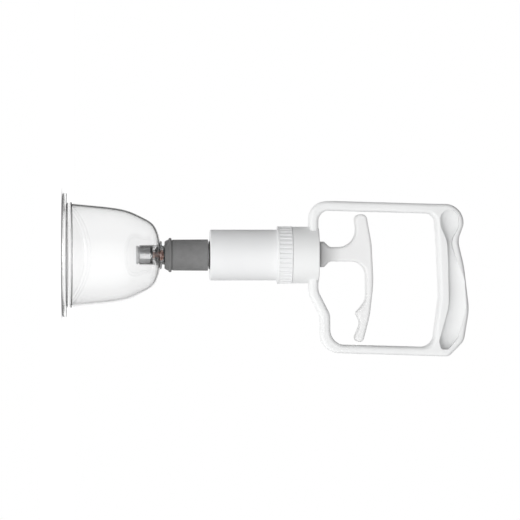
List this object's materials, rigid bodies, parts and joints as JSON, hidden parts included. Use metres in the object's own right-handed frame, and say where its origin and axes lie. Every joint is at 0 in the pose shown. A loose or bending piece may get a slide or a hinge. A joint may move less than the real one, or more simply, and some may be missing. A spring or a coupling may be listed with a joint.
{
  "type": "vacuum cupping cup with hand pump",
  "caption": "Clear flanged vacuum cupping cup with a lift valve, rubber sleeve and a hand pump with a loop handle and finger pull.",
  "frame": {"origin": "centre of the cup's mouth, on the plane its rim stands on", "axes": "+Z along the pump axis from the mouth to the grip, +X towards the long side of the loop handle, Y across the flat of the handle"},
  "size_m": [0.0996, 0.0758, 0.2475],
  "materials": {
    "clear_plastic": "polished clear polycarbonate",
    "guard_plastic": "satin",
    "grey_plastic": "satin",
    "ivory_plastic": "satin",
    "spring_steel": "bright",
    "red_rubber": "matte",
    "grey_rubber": "matte",
    "dark_rubber": "matte",
    "white_plastic": "semi-gloss",
    "handle_plastic": "semi-gloss",
    "pull_plastic": "semi-gloss"
  },
  "bodies": {
    "cup": {"cup_bell": "clear_plastic", "valve_guard": "guard_plastic", "spring_washer": "dark_rubber", "valve_spring": "spring_steel"},
    "valve": {"valve_stem": "ivory_plastic", "valve_seal": "red_rubber", "spring_retainer": "grey_plastic"},
    "sleeve": {"nozzle_sleeve": "grey_rubber"},
    "pump": {"sleeve_gasket": "dark_rubber", "pump_barrel": "white_plastic", "inlet_valve": "dark_rubber", "handle_frame": "handle_plastic", "rod_bush": "grey_plastic"},
    "ring": {"knurled_ring": "white_plastic"},
    "piston": {"piston_rod": "ivory_plastic", "piston_body": "ivory_plastic", "piston_seal": "dark_rubber", "piston_washer": "spring_steel", "piston_screw": "spring_steel", "rod_bumper": "dark_rubber", "finger_pull": "pull_plastic"}
  },
  "joints": [
    {"name": "valve_lift", "type": "slide", "parent": "cup", "child": "valve", "axis": [0, 0, 1], "range_m": [0, 0.002], "stiffness_N_per_m": 150, "springref_m": -0.002, "deforming": ["valve_spring"]},
    {"name": "pump_lift_off", "type": "slide", "parent": "cup", "child": "sleeve", "axis": [0, 0, 1], "range_m": [0, 0.03]},
    {"name": "pump_swivel", "type": "hinge", "parent": "sleeve", "child": "pump", "pos_m": [0, 0, 0.083], "axis": [0, 0, 1], "continuous": true},
    {"name": "ring_unscrew", "type": "hinge", "parent": "pump", "child": "ring", "pos_m": [0, 0, 0.135], "axis": [0, 0, 1], "range_deg": [0, 360]},
    {"name": "pull_stroke", "type": "slide", "parent": "pump", "child": "piston", "axis": [0, 0, 1], "range_m": [0, 0.036]}
  ]
}
